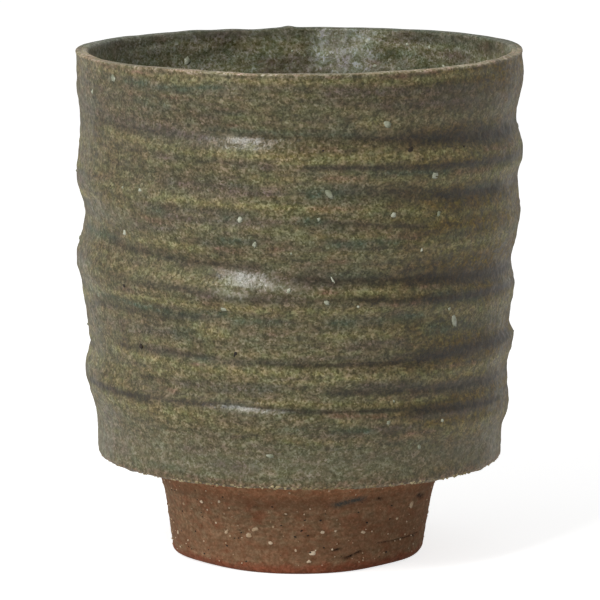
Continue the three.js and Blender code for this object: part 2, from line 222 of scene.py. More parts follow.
WALL_MARKS["rust"] = (
    (-60, -54, 91, 90.8, 0.4, 0.8), (-49, -42, 90.7, 90.5, 0.4, 0.8), (6, 10, 91, 91, 0.3, 0.7),
    (21, 27, 90.8, 90.6, 0.4, 0.8), (30, 37, 91.1, 91, 0.3, 0.9), (-47, -44, 86.9, 86.7, 0.5, 0.6),
    (-37, -30, 87, 86.6, 0.4, 0.5), (-19, -16, 82.4, 82.3, 0.3, 0.7), (5, 8, 78.5, 78.4, 0.4, 0.5),
    (56, 71, 76.3, 75.4, 0.5, 0.7), (5, 16, 73.4, 73.2, 0.5, 0.5), (44, 56, 73, 72.6, 0.6, 0.5),
    (4, 13, 68.1, 67.9, 0.5, 0.6), (-43, -38, 64.8, 64.6, 0.5, 0.6), (25, 31, 62.7, 62.5, 0.5, 0.6),
    (-21, -17, 60.8, 60.5, 0.7, 0.7), (-6, -3, 61.2, 61.1, 0.6, 0.6), (9, 11, 58.8, 58.7, 0.5, 0.6),
    (6, 10, 53.4, 53.3, 0.4, 0.8), (34, 39, 53.1, 52.9, 0.4, 0.7), (-51, -47, 51.9, 51.7, 0.5, 0.5),
    (-24, -21, 50.9, 50.8, 0.4, 0.6), (21, 35, 50.8, 50.4, 0.4, 0.5), (-7, -4, 46.1, 46, 0.5, 0.4),
    (-29, -26, 39.9, 39.8, 0.3, 0.8), (40, 54, 38.6, 38.3, 0.4, 0.5), (-39, -35, 34.8, 34.7, 0.4, 0.6),
    (9, 23, 31.4, 31, 0.35, 0.8), (30, 39, 27.4, 27.2, 0.4, 0.6), (-48, -39, 19.4, 19.2, 0.4, 0.6),
    (-32, -19, 19.4, 19.2, 0.4, 0.6), (5, 20, 19.3, 19.2, 0.4, 0.5),
)
# Small ledges, pale ash that is partly painted highlight, and painted highlights where the key light's
# highlights fall on the ridges, listed as the marks are
WALL_MARKS["ledge"] = (
    (-58, -20, 59.6, 57.6, 0.8, 0.6), (-46, -22, 33.6, 33.2, 0.35, 0.6), (-24, 2, 33.1, 32.4, 0.5, 0.8),
    (2, 45, 32.2, 31, 0.4, 0.6), (30, 68, 40.5, 41.1, 0.5, 0.8), (36, 66, 51.2, 49.8, 0.7, 0.5),
    (-26, -3, 81, 80.6, 1.4, 1), (-19, -10, 56.4, 56.2, 2, 0.6), (-20.5, -15.5, 53.4, 53.2, 0.5, 1),
)
# Pale ash low on the wall; the two marks at 53 to 55 mm high near the front are painted highlight beside the
# key light's highlight
WALL_MARKS["ash_and_sheen"] = (
    (-75, 75, 22.6, 22, 3.4, 0.55), (-24, -12, 22.4, 21.8, 1.4, 0.7), (-40, -20, 26.5, 26, 1, 0.4),
    (36, 60, 86.5, 85.5, 1.4, 0.3), (-70, -52, 66, 64.5, 2, 0.3), (-8, 1, 54.6, 54.2, 1.3, 0.6),
    (-20, -15, 53.2, 52.8, 0.7, 0.9),
)
# Painted highlight: paler patches where the key light's highlights fall on the ridges of the front
WALL_MARKS["painted_highlight"] = (
    (-17.5, -9, 56, 55.2, 1.3, 0.22), (-19.5, -15.5, 53.1, 52.8, 0.7, 0.4), (-8, -1, 54.4, 54, 1.2, 0.12),
    (-18, -4, 32.5, 31.9, 0.5, 0.15), (-21, -5, 79.5, 79, 0.8, 0.07),
)
MARK_FADE = 2.5  # a mark fades out at its ends over this many times half its height
LONGEST_FADE = 2.2
SIDE_LIFT = -1.7  # how much higher the marks lie on the sides, and on the back
BACK_LIFT = 2.4
PART_REACH = 64  # degrees from the middle of a part, where its own marks end
SIDE_CHANGE = (66, 84)  # degrees from the front where its marks give way to the sides'
BACK_CHANGE = (96, 114)  # and theirs to the back's
# Painted shade: how much darker and browner the glaze is painted on the right side, away from the lights, and
# on the left side, and between which sines that grows
PAINTED_SIDE_SHADE = {1: (0.95, 0.15, 0.85), -1: (0.16, 0.3, 0.85)}
BARE_EDGE_HEIGHT = 0.9  # the glaze drew off the wall's lower edge
LIP_BARENESS = 0.75  # and off the near side of the lip
NEAR_LIP = (-0.3, 0.3)  # cosines where the lip's far side gives way to its near side
FAR_LIP_GREEN = 0.8
# Random patches in the lining: strength, seed, patches round the cup, patch height, start, full
LINING_PATCHES = {
    "dark": (0.4, 41, 9, 2.2, 0.1, 0.8), "teal": (0.6, 42, 21, 3, 0.1, 0.7),
    "yellow": (0.35, 43, 25, 2, 0.2, 0.8), "grey": (0.6, 44, 25, 2.5, 0, 0.6),
    "rust": (0.4, 45, 34, 2.5, 0.5, 0.9),
}
# Painted reflection: a pale patch on the far side of the lining where a light is reflected, and a faint
# painted light on the shaded left of the lining, listed as the marks are
LINING_SHEEN = (
    (168.5, 173.6, 88, 88, 4.5, 0.58), (160.5, 168.5, 87.5, 87.5, 4.5, 0.38), (205, 265, 86, 86, 8, 0.07),
)
SHEEN_COVER = 0.7  # how much of the patches the painted reflection hides
# Pits and scratches, smears, and painted shade on the foot: the shadow under the wall's overhang along its
# top, and darker low down and on its right side, listed as the marks are
FOOT_MARKS = {}
FOOT_MARKS["pit"] = (
    (62.4, 64, 12.3, 11.9, 0.5, 1), (35, 35.3, 13.5, 13.3, 0.25, 1), (-18.6, -18.3, 12.5, 12.5, 0.18, 0.7),
    (-5.8, -5.4, 11.3, 11.3, 0.18, 0.7), (-26, -25.7, 7.8, 7.6, 0.2, 0.7),
    (-37.7, -37.5, 9.8, 9.8, 0.18, 0.7), (16.6, 18.2, 4.4, 4.6, 0.22, 0.9), (22.6, 28, 2.8, 3.7, 0.26, 1),
    (38, 68, 4.9, 4.9, 0.14, 0.75),
)
FOOT_MARKS["smear"] = ((16.5, 25.5, 13, 13.8, 0.5, 1),)
# Painted shade: the overhang's shadow along the top of the foot, darker near its base and on its right side
FOOT_MARKS["shade"] = (
    (-75, -25, 14.6, 14, 1.5, 0.5), (-25, 32, 13.6, 13.2, 1.6, 0.6), (32, 75, 13.6, 13.8, 1.8, 0.6),
    (-75, 32, 4.4, 4.4, 2.2, 0.45), (24, 80, 7.5, 7.5, 5, 0.45),
)
FOOT_WORN_HEIGHTS = (0.6, 3.4)  # the clay is red where the foot is worn, and near its top
FOOT_RED_HEIGHTS = (12, 15.5)

# Pale grains that came up through the glaze or lie in the clay: angle in degrees, height, width, tallness
WALL_GRAINS = (
    (-54.5, 88.8, 0.9, 1), (-66, 85.6, 0.6, 0.7), (22.7, 82.4, 1.4, 0.9), (36.3, 73, 1.4, 1.1),
    (7.6, 70.6, 0.8, 1.5), (-44.5, 69.8, 0.6, 0.6), (-51, 69.8, 0.5, 0.5), (-15, 66, 0.7, 0.8),
    (4.9, 66.2, 0.5, 0.6), (24.6, 66.5, 0.8, 0.7), (38, 66, 0.6, 0.8), (-52.6, 61.6, 0.6, 0.8),
    (-11.3, 61.8, 0.6, 1), (-2, 60.2, 0.4, 0.4), (32.8, 60, 0.4, 0.6), (8.8, 55.3, 0.3, 1.2),
    (-2.7, 53.6, 0.5, 0.9), (6.9, 51.7, 0.8, 0.6), (15, 50.8, 0.4, 0.4), (-19.8, 50.2, 1, 0.8),
    (-65.3, 49.4, 0.8, 0.7), (42.5, 48.9, 0.5, 0.5), (45, 46.8, 0.9, 2.3), (26.2, 33.3, 0.4, 0.4),
    (24.2, 29.8, 0.6, 0.6), (41.5, 29, 0.4, 0.5), (-7.8, 24.2, 1.2, 0.7), (34.7, 24.7, 0.6, 0.9),
)
LINING_GRAINS = (
    (160.5, 88.7, 0.8, 1.1), (158, 84.3, 0.8, 0.7), (135, 85, 0.8, 0.9), (213.6, 85.6, 1.3, 1.6),
    (182, 86.8, 0.5, 0.6), (148, 88.6, 0.6, 0.6), (140.5, 88.4, 0.6, 0.8), (172, 86, 0.4, 0.5),
)
FOOT_GRAINS = (
    (56.5, 11, 1.1, 1.6), (6.3, 4, 1.2, 0.9), (-18.8, 8.3, 1.4, 0.7), (-21.8, 7.1, 1.1, 0.9),
    (-44.7, 12.3, 0.8, 0.7), (-12, 5.9, 0.8, 0.7), (-10.8, 8.9, 0.6, 0.5), (10.4, 7.9, 0.7, 0.6),
    (29.2, 7.4, 0.9, 0.6), (5, 2.5, 0.8, 0.6), (-32.8, 7.2, 0.7, 0.6), (-68.3, 4.9, 0.8, 0.7),
    (-34.8, 12.9, 0.5, 0.5), (-58, 11, 0.6, 0.5), (-30.9, 6.6, 0.5, 0.5), (-5.3, 11.4, 0.5, 0.4),
    (-1, 4.6, 0.4, 0.6), (16.2, 8, 0.5, 0.4), (47.7, 8.9, 0.6, 0.5), (15.2, 4.6, 0.4, 0.4),
)
# Burst pits in the glaze, listed as the grains are
WALL_PITS = (
    (28.9, 77.5, 0.8, 1.6), (6, 78.1, 0.5, 0.6), (-56.3, 69.6, 0.7, 0.7), (-22, 68.6, 0.5, 0.5),
    (-40.9, 60.5, 1.1, 0.7), (-16.9, 42.3, 0.6, 1.1), (-82, 37.2, 1.4, 0.9), (-46.9, 41.8, 0.9, 0.9),
    (-50.5, 52.5, 0.7, 0.6), (46.5, 77.3, 0.6, 0.5),
)
LUMP_TILT = 0.6
LUMP_UNEVENNESS = 0.3
CRUMB_CROWD = (0.1, 0.5)  # the angle where most crumbs lie, and how far they spread
CRUMB_SHAPE = (1.4, 1, 0.5)  # width, tallness and half depth as shares of a crumb's size

# Fineness of the meshes
COLUMNS = 360
ANGLES = (np.arange(COLUMNS) * FULL_TURN / COLUMNS)[:, None]
WALL_ROWS = 204
LIP_ROWS = 8
LINING_ROWS = 120
FILLET_ROWS = 14
FLOOR_ROWS = 60
HIDDEN_ROWS = 56
HIDDEN_FLOOR_ROWS = 4
FOOT_SIDE_ROWS = 84
FOOT_ROUND_ROWS = 7
FOOT_FLAT_ROWS = 10
UNDERSIDE_ROWS = 48
BORE_ROWS = 24
SLIP_ROWS = 9
SHOWN_SHARE = 0.95  # of the bake map's height
HIDDEN_START = 0.96


# Shapes of the body

def ease(value, low, high):
    share = np.clip((value - low) / (high - low), 0, 1)
    return share * share * (3 - 2 * share)


def lerp(first, second, share):
    return first + (second - first) * share


def centred_degrees(angle):
    return np.mod(np.degrees(angle) + 180, 360) - 180


def bell(angle, degrees, half_width):
    """1 at one place round the cup, and less beside it."""
    return np.exp(-(centred_degrees(angle - math.radians(degrees)) / half_width) ** 2)


def value_at(pairs, place):
    """The value at a place on a smooth curve through pairs of place and value."""
    places, values = np.array(pairs, float).T
    following = np.clip(np.searchsorted(places, place, side="right"), 1, len(places) - 1)
    share = ease(place, places[following - 1], places[following])
    return lerp(values[following - 1], values[following], share)


def finger_slip(angle, height):
    degrees, half_width, middle, half_height, distance = FINGER_SLIP
    return distance * bell(angle, degrees, half_width) * np.exp(-((height - middle) / half_height) ** 2)


def swell(angle, height):
    depth = CUP_HEIGHT - height + finger_slip(angle, height)
    first = RIDGED_SIDES[0][0]
    turned = np.mod(angle - first, FULL_TURN)
    sink_per_angle = SPIRAL_LEAD / FULL_TURN
    total = np.zeros(np.broadcast(angle, height).shape)
    for index, (start, ridges) in enumerate(RIDGED_SIDES):
        coming, coming_ridges = RIDGED_SIDES[(index + 1) % len(RIDGED_SIDES)]
        span = (coming - start) % FULL_TURN
        gone = turned - (start - first)
        here = value_at(ridges, depth - gone * sink_per_angle)
        there = value_at(coming_ridges, depth + (span - gone) * sink_per_angle)
        mixed = lerp(here, there, ease(gone / span, *RIDGE_CHANGE))
        total = np.where((gone >= 0) & (gone < span), mixed, total)
    return total


def way_down(height):
    return np.clip((CUP_HEIGHT - height) / (CUP_HEIGHT - CORNER_HEIGHT), 0, None)


def plain_radius(height):
    return RIM_RADIUS - (RIM_RADIUS - CORNER_RADIUS) * way_down(height) ** WALL_FULLNESS


def outside_radius(angle, height):
    return plain_radius(height) + swell(angle, height)


def inside_radius(angle, height):
    thickness = lerp(LIP_THICKNESS, WALL_THICKNESS, np.sqrt(way_down(height)))
    return plain_radius(height) - thickness + INSIDE_RIDGE_SHARE * swell(angle, height)


def lip_start(angle):
    return CUP_HEIGHT - value_at(LIP_SINKS, np.degrees(np.mod(angle, FULL_TURN))) - LIP_ROUND


def corner_height(angle):
    return CORNER_HEIGHT - EDGE_TILT * np.sin(angle)


def foot_side_radius(height):
    taper = lerp(FOOT_EDGE_RADIUS, FOOT_WAIST_RADIUS, height / FOOT_WAIST_HEIGHT)
    share = np.clip((height - FOOT_FLARE_START) / (FOOT_HEIGHT - FOOT_FLARE_START), 0, None)
    top = lerp(FOOT_EDGE_RADIUS, FOOT_WAIST_RADIUS, FOOT_HEIGHT / FOOT_WAIST_HEIGHT)
    return taper + (FOOT_TOP_RADIUS - top) * share ** FOOT_FLARE_CURVE


def foot_centre(height):
    return FOOT_CENTRE + FOOT_LEAN * height / FOOT_HEIGHT


# Unevenness and marks

def ring_noise(seed, height, cells_round, cell_height):
    """Smooth random values from -1 to 1 that close up round the cup."""
    rows = int(CUP_HEIGHT / cell_height) + 3
    values = np.random.default_rng(seed).uniform(-1, 1, (cells_round, rows))
    across = ANGLES / FULL_TURN * cells_round
    up = np.clip(height / cell_height, 0, rows - 1.001)
    column = np.floor(across).astype(int)
    row = np.floor(up).astype(int)
    share_across = ease(across - column, 0, 1)
    beside = (column + 1) % cells_round
    lower = lerp(values[column, row], values[beside, row], share_across)
    upper = lerp(values[column, row + 1], values[beside, row + 1], share_across)
    return lerp(lower, upper, ease(up - row, 0, 1))


def ripples(height, seed, *waves):
    """Waves laid over each other."""
    total = 0.0
    for index, (depth, cells_round, cell_height) in enumerate(waves):
        total = total + depth * ring_noise(seed + index, height, cells_round, cell_height)
    return total


def throwing_lines(height, seed):
    """Fine lines and lumps that the fingers and the sponge left."""
    lines = ripples(height + LINE_SLANT * np.sin(ANGLES), seed, *THROWING_LINES)
    return lines + ripples(height, seed + len(THROWING_LINES), *THROWING_LUMPS)


def mark_field(marks, degrees, height, mm_per_degree):
    """How strongly a list of marks shows at each place, from 0 to 1."""
    field = np.zeros(np.broadcast(degrees, height).shape)
    for first, last, start, end, half_height, strength in marks:
        middle = lerp(start, end, np.clip((degrees - first) / (last - first), 0, 1))
        beyond = np.maximum(np.maximum(first - degrees, degrees - last), 0) * mm_per_degree
        fade = min(MARK_FADE * half_height, LONGEST_FADE)
        shown = np.exp(-((height - middle) / half_height) ** 2 - (beyond / fade) ** 2)
        field = np.maximum(field, strength * shown)
    return field


def part_field(marks, degrees, height):
    """The marks of one part of the wall. Those that reach its end run on from there."""
    return mark_field(marks, np.clip(degrees, -PART_REACH, PART_REACH), height, WALL_MM_PER_DEGREE)


def wall_field(marks, height):
    """The marks all round the wall, with uneven changes from side to side."""
    degrees = centred_degrees(ANGLES)
    away = np.abs(degrees)
    front = part_field(marks, degrees, height)
    side = part_field(marks, away - 90, height - SIDE_LIFT)
    back = part_field(marks, centred_degrees(ANGLES + math.pi), height - BACK_LIFT)
    away = away + ripples(height, *WAVES["change of marks"])
    front_and_side = lerp(front, side, ease(away, *SIDE_CHANGE))
    return lerp(front_and_side, back, ease(away, *BACK_CHANGE))


def crown_share(height):
    """0 where the lip's rounding starts, and 1 at its crown."""
    start = lip_start(ANGLES)
    return ease(height, start, start + LIP_ROUND)


def add_lip(fields, height):
    """The glaze drew off the near side of the lip and stayed dark green on the far side."""
    crown = crown_share(height)
    near = ease(np.cos(ANGLES), *NEAR_LIP)
    fields["lip"] = crown * near * (LIP_BARENESS + ripples(0, *WAVES["lip wear"]))
    fields["teal"] = np.maximum(fields["teal"], FAR_LIP_GREEN * crown * (1 - near))


def glaze_fields(height):
    fields = {key: wall_field(marks, height) for key, marks in WALL_MARKS.items()}
    add_lip(fields, height)
    fields["edge"] = 1 - ease(height, CORNER_HEIGHT, CORNER_HEIGHT + BARE_EDGE_HEIGHT)
    # Painted shade, darker and browner towards the sides of the wall, most on the right
    fields["painted_side_shade"] = 0 * height
    for side, (strength, start, full) in PAINTED_SIDE_SHADE.items():
        fields["painted_side_shade"] += strength * ease(side * np.sin(ANGLES), start, full)
    return fields


def lining_fields(height):
    # Painted reflection and painted light on the lining
    ash_and_sheen = mark_field(LINING_SHEEN, np.degrees(ANGLES), height, WALL_MM_PER_DEGREE)
    fields = {"ash_and_sheen": ash_and_sheen}
    for key, (strength, seed, cells_round, cell_height, start, full) in LINING_PATCHES.items():
        patches = ease(ring_noise(seed, height, cells_round, cell_height), start, full)
        fields[key] = strength * patches * (1 - SHEEN_COVER * ash_and_sheen)
    add_lip(fields, height)
    return fields


def foot_fields(height):
    fields = {}
    for key, marks in FOOT_MARKS.items():
        fields[key] = mark_field(marks, centred_degrees(ANGLES), height, FOOT_MM_PER_DEGREE)
    fields["worn"] = 1 - ease(height, *FOOT_WORN_HEIGHTS)
    fields["red"] = ease(height, *FOOT_RED_HEIGHTS)
    return fields


def wall_relief(height, fields):
    relief = throwing_lines(height, seed=1) - WALL_INSET
    for key, depth in MARK_RELIEF.items():
        relief = relief + depth * fields[key]
    return np.clip(relief, DEEPEST_RELIEF, 0) * (1 - crown_share(height))


def foot_relief(height, fields):
    relief = ripples(height, *WAVES["foot"]) - FOOT_PIT_DEPTH * fields["pit"] - FOOT_INSET
    above_base = ease(height, 0, FOOT_CALM_BASE)
    below_top = 1 - ease(height, FOOT_HEIGHT - FOOT_CALM_TOP, FOOT_HEIGHT)
    return relief * above_base * below_top


# Outlines: radii and heights, with a row of points for each angle

def joined(*lines):
    return tuple(np.concatenate(parts, axis=1) for parts in zip(*lines))


def backwards(line):
    return tuple(part[:, ::-1] for part in line)


def steps(rows):
    """Shares of a way at equal steps, without its start."""
    return np.arange(1, rows + 1)[None, :] / rows


def quarter_turns(rows):
    return np.linspace(0, QUARTER_TURN, rows + 1)[None, :]


def lip_rise():
    """How far the uneven crown of the lip lies above its plain height."""
    rise = ripples(0, *WAVES["lip"])
    for degrees, half_width, height in LIP_LUMPS:
        rise = rise + height * bell(ANGLES, degrees, half_width)
    return rise


def lip_arc(depth, side, rows):
    """One half of the lip's flat top, from the wall to the crown."""
    start = lip_start(ANGLES)
    outside = outside_radius(ANGLES, start)
    inside = inside_radius(ANGLES, start)
    turn = quarter_turns(rows)
    half_width = (outside - inside) / 2 - depth
    radius = (outside + inside) / 2 + side * half_width * np.cos(turn) ** LIP_SQUARENESS
    height = start + (LIP_ROUND - depth + lip_rise()) * np.sin(turn) ** LIP_SQUARENESS
    return radius, np.minimum(height, CUP_HEIGHT - depth)


def outside_line(depth, rows, lip_rows):
    """The outside of the wall from its lower edge up to the crown of the lip."""
    corner = corner_height(ANGLES)
    bevel = (outside_radius(ANGLES, corner) - BEVEL_WIDTH - depth, corner - BEVEL_HEIGHT)
    height = lerp(corner, lip_start(ANGLES), np.arange(rows)[None, :] / rows)
    wall = (outside_radius(ANGLES, height) - depth, height)
    return joined(bevel, wall, lip_arc(depth, 1, lip_rows))


def inside_line(depth, lip_rows, rows, fillet_rows, floor_rows):
    """The inside from the crown of the lip down to the middle of the floor."""
    fillet_top = FLOOR_HEIGHT + FLOOR_FILLET
    height = lerp(lip_start(ANGLES), fillet_top, steps(rows))
    wall = (inside_radius(ANGLES, height) + depth, height)
    turn = quarter_turns(fillet_rows)[:, 1:] + 0 * ANGLES
    centre = inside_radius(ANGLES, fillet_top) - FLOOR_FILLET
    reach = FLOOR_FILLET + depth
    fillet = (centre + reach * np.cos(turn), fillet_top - reach * np.sin(turn))
    floor_radius = centre * (1 - steps(floor_rows))
    floor = (floor_radius, np.full_like(floor_radius, FLOOR_HEIGHT - depth))
    return joined(backwards(lip_arc(depth, -1, lip_rows)), wall, fillet, floor)


def hidden_outside():
    return outside_line(GLAZE_THICKNESS, HIDDEN_ROWS, 1)


def hidden_inside():
    return inside_line(GLAZE_THICKNESS, 1, HIDDEN_ROWS, HIDDEN_FLOOR_ROWS, HIDDEN_FLOOR_ROWS)


# Meshes

def new_object(name, data):
    made = bpy.data.objects.new(name, data)
    bpy.context.scene.collection.objects.link(made)
    return made


def new_piece(name, points, faces):
    """A smooth object from points in millimetres."""
    mesh = bpy.data.meshes.new(name)
    mesh.from_pydata((points * MM).tolist(), [], faces)
    mesh.polygons.foreach_set("use_smooth", np.ones(len(mesh.polygons), bool))
    return new_object(name, mesh)


def net_faces(poles):
    """Faces of a net closed both ways. A corner is its column, its row, and its steps on the map."""
    faces = []
    for row in range(len(poles)):
        above = (row + 1) % len(poles)
        if poles[row] and poles[above]:
            continue
        for column in range(COLUMNS):
            beside = (column + 1) % COLUMNS
            lower = [(column, row, column, row), (beside, row, column + 1, row)]
            upper = [(beside, above, column + 1, row + 1), (column, above, column, row + 1)]
            faces.append(lower[:1 if poles[row] else 2] + upper[:1 if poles[above] else 2])
    return faces


def map_levels(radius, height, shown_rows):
    """How far up the bake map each row lies. Rows that don't show share a strip at its top."""
    along = np.hypot(np.diff(radius.mean(0), append=0), np.diff(height.mean(0), append=0))
    shown = np.cumsum(along[:shown_rows]) / along[:shown_rows].sum()
    hidden = np.linspace(HIDDEN_START, 1, radius.shape[1] - shown_rows + 1)
    return np.concatenate([SHOWN_SHARE * shown, hidden])


def ring_mesh(name, line, shown_rows, fields=None, centre=0.0):
    """A closed mesh of one outline at each angle. A row of no radius becomes one point."""
    radius, height = line
    poles = np.all(radius < 1e-6, axis=0)
    index = np.arange(radius.size).reshape(radius.shape)
    index[:, poles] = index[0, poles]
    used, index = np.unique(index, return_inverse=True)
    index = index.reshape(radius.shape)
    places = np.stack([centre + radius * np.sin(ANGLES), -radius * np.cos(ANGLES), height], axis=-1)
    net = net_faces(poles)
    faces = [[index[column, row] for column, row, _, _ in face] for face in net]
    piece = new_piece(name, places.reshape(-1, 3)[used], faces)
    level = map_levels(radius, height, shown_rows)
    corners = [(across / COLUMNS, level[up]) for face in net for _, _, across, up in face]
    piece.data.uv_layers.new(name="OFBake").data.foreach_set("uv", np.ravel(corners))
    for key, values in (fields or {}).items():
        whole = np.zeros(radius.shape)
        whole[:, :values.shape[1]] = values
        attribute = piece.data.attributes.new(key, "FLOAT", "POINT")
        attribute.data.foreach_set("value", whole.reshape(-1)[used].astype(np.float32))
    return piece


def rings(radius, depth, pitch, fade):
    return depth * np.sin(FULL_TURN * radius / pitch + ANGLES) * ease(radius, 0, fade)


def make_outer_glaze():
    radius, height = outside_line(0, WALL_ROWS, LIP_ROWS)
    fields = glaze_fields(height)
    radius = radius + wall_relief(height, fields)
    height[:, :1] += ripples(0, *WAVES["lower edge"])
    line = joined((radius, height), backwards(hidden_outside()))
    return ring_mesh("outer_glaze_coat", line, radius.shape[1], fields)


def make_inner_glaze():
    radius, height = inside_line(0, LIP_ROWS, LINING_ROWS, FILLET_ROWS, FLOOR_ROWS)
    fields = lining_fields(height)
    upright = ease(height, FLOOR_HEIGHT, FLOOR_HEIGHT + FLOOR_FILLET)
    radius = radius + throwing_lines(height, seed=11) * (1 - crown_share(height)) * upright
    height = height + rings(radius, *FINGER_RINGS) * (1 - upright)
    line = joined((radius, height), backwards(hidden_inside()))
    return ring_mesh("inner_glaze_coat", line, radius.shape[1], fields)


def make_clay_body():
    reach = np.linspace(0, FOOT_TOP_RADIUS + SEAT_MARGIN, UNDERSIDE_ROWS)[None, :] + 0 * ANGLES
    seated = ease(reach, FOOT_BORE_RADIUS - SEAT_MARGIN, FOOT_BORE_RADIUS)
    underside = (reach, SEAT_HEIGHT + np.abs(rings(reach, *TOOL_RINGS)) * (1 - seated))
    inside = tuple(part[:, 1:] for part in hidden_inside())
    return ring_mesh("clay_body_shell", joined(underside, hidden_outside(), inside), UNDERSIDE_ROWS)


def foot_rounding():
    """The worn lower edge of the foot."""
    wear = 1 + ripples(0, *WAVES["foot wear"])
    for degrees, half_width, rounder in FOOT_WEAR:
        wear = wear + rounder * bell(ANGLES, degrees, half_width)
    size = FOOT_EDGE_ROUND * wear
    turn = quarter_turns(FOOT_ROUND_ROWS)
    return foot_side_radius(size) - size * (1 - np.sin(turn)), size * (1 - np.cos(turn))


def make_foot_ring():
    rounding = foot_rounding()
    height = lerp(rounding[1][:, -1:], FOOT_HEIGHT, steps(FOOT_SIDE_ROWS))
    radius, height = joined(rounding, (foot_side_radius(height), height))
    fields = foot_fields(height)
    side = (radius + foot_relief(height, fields), height)
    down = lerp(FOOT_HEIGHT, 0, np.linspace(0, 1, BORE_ROWS)[None, :]) + 0 * ANGLES
    bore = lerp(FOOT_BORE_RADIUS, FOOT_BORE_TOP_RADIUS, down / FOOT_HEIGHT) + ripples(down, *WAVES["bore"])
    flat_start = FOOT_BORE_RADIUS + 0.3
    flat_end = rounding[0][:, :1] - 0.2
    flat = lerp(flat_start, flat_end, np.linspace(0, 1, FOOT_FLAT_ROWS)[None, :])
    line = joined(side, (bore, down), (flat, 0 * flat))
    return ring_mesh("foot_ring_turned", line, line[0].shape[1], fields, foot_centre(line[1]))


def make_slip():
    turn = np.linspace(-QUARTER_TURN, QUARTER_TURN, SLIP_ROWS)[None, :]
    middle = (FOOT_HEIGHT + SEAT_HEIGHT) / 2
    rise = (SEAT_HEIGHT - FOOT_HEIGHT) / 2 * np.sin(turn) + 0 * ANGLES
    bead = (SLIP_BEAD + ripples(0, *WAVES["slip"])) * np.cos(turn)
    outside = (FOOT_TOP_RADIUS - FOOT_INSET + bead, middle + rise)
    inside = (FOOT_BORE_TOP_RADIUS - SLIP_BEAD_INSIDE * bead, middle - rise)
    line = joined(outside, inside)
    return ring_mesh("luting_slip_bead", line, line[0].shape[1], centre=FOOT_CENTRE)


# Grains, pits and crumbs

def ball():
    """Points and faces of a round lump of radius 1."""
    bpy.ops.mesh.primitive_ico_sphere_add(subdivisions=2, radius=1)
    made = bpy.context.object
    mesh = made.data
    points = np.array([vertex.co for vertex in mesh.vertices])
    faces = np.array([face.vertices for face in mesh.polygons])
    bpy.data.objects.remove(made)
    bpy.data.meshes.remove(mesh)
    return points, faces


def lumps(name, spots, seed):
    """One mesh of uneven lumps. A spot is a place, its outward direction, width, tallness and half depth."""
    chance = np.random.default_rng(seed)
    ball_points, ball_faces = ball()
    points, faces = [], []
    for place, outward, width, tallness, depth in spots:
        level = np.cross((0, 0, 1), outward)
        upright = np.cross(outward, level)
        tilt = chance.uniform(-LUMP_TILT, LUMP_TILT)
        across = math.cos(tilt) * level + math.sin(tilt) * upright
        up = math.cos(tilt) * upright - math.sin(tilt) * level
        bumps = 1 + chance.uniform(-LUMP_UNEVENNESS, LUMP_UNEVENNESS, len(ball_points))
        axes = np.stack([across * width / 2, up * tallness / 2, np.array(outward) * depth])
        faces.append(ball_faces + len(points) * len(ball_points))
        points.append(np.array(place) + ball_points * bumps[:, None] @ axes)
    return new_piece(name, np.concatenate(points), np.concatenate(faces).tolist())


def on_ring(angle, radius, height, centre=0.0):
    return (centre + radius * math.sin(angle), -radius * math.cos(angle), height)


def wall_at(angle, height):
    """A surface's radius, its centre, and whether it faces out, 1, or in, -1."""
    return float(outside_radius(angle, height)), 0.0, 1


def lining_at(angle, height):
    return float(inside_radius(angle, height)), 0.0, -1


def foot_at(angle, height):
    return float(foot_side_radius(height)), foot_centre(height), 1


def spots_on(surface_at, places, sink, depth, growth=1.0):
    """Spots for lumps in a surface, from places listed as the grains are."""
    spots = []
    for degrees, height, width, tallness in places:
        angle = math.radians(degrees)
        radius, centre, facing = surface_at(angle, height)
        place = on_ring(angle, radius - facing * sink, height, centre)
        spots.append((place, on_ring(angle, facing, 0.0), growth * width, growth * tallness, depth))
    return spots


def scattered(chance, count, angles, heights, widths=(0.3, 0.7), tallnesses=(0.3, 0.8)):
    ranges = (angles, heights, widths, tallnesses)
    return [tuple(chance.uniform(*limits) for limits in ranges) for _ in range(count)]


def finely_scattered(chance, count, sizes, angles, heights, flatness=1.0):
    return [
        (chance.uniform(*angles), chance.uniform(*heights), size, flatness * size)
        for size in chance.uniform(*sizes, count)
    ]


def wall_grain_spots():
    heights = (CORNER_HEIGHT + 4, CUP_HEIGHT - 4)
    behind = scattered(np.random.default_rng(71), count=34, angles=(85, 275), heights=heights)
    return spots_on(wall_at, (*WALL_GRAINS, *behind), sink=0.26, depth=0.26, growth=1.25)


def lining_grain_spots():
    heights = (FLOOR_HEIGHT + FLOOR_FILLET, CUP_HEIGHT - 4)
    more = scattered(np.random.default_rng(72), count=40, angles=(0, 360), heights=heights)
    return spots_on(lining_at, (*LINING_GRAINS, *more), sink=0.05, depth=0.2)


def foot_grain_spots():
    chance = np.random.default_rng(73)
    behind = scattered(chance, count=26, angles=(75, 285), heights=(2, 14))
    fine = finely_scattered(chance, 190, sizes=(0.14, 0.36), angles=(-180, 180), heights=(1.5, 16))
    return spots_on(foot_at, (*FOOT_GRAINS, *behind, *fine), sink=0.06, depth=0.16)


def foot_pit_spots():
    heights = (1.5, FOOT_HEIGHT - 1.5)
    chance = np.random.default_rng(75)
    pits = finely_scattered(chance, 110, sizes=(0.18, 0.5), angles=(0, 360), heights=heights, flatness=0.6)
    return spots_on(foot_at, pits, sink=0.04, depth=0.12)


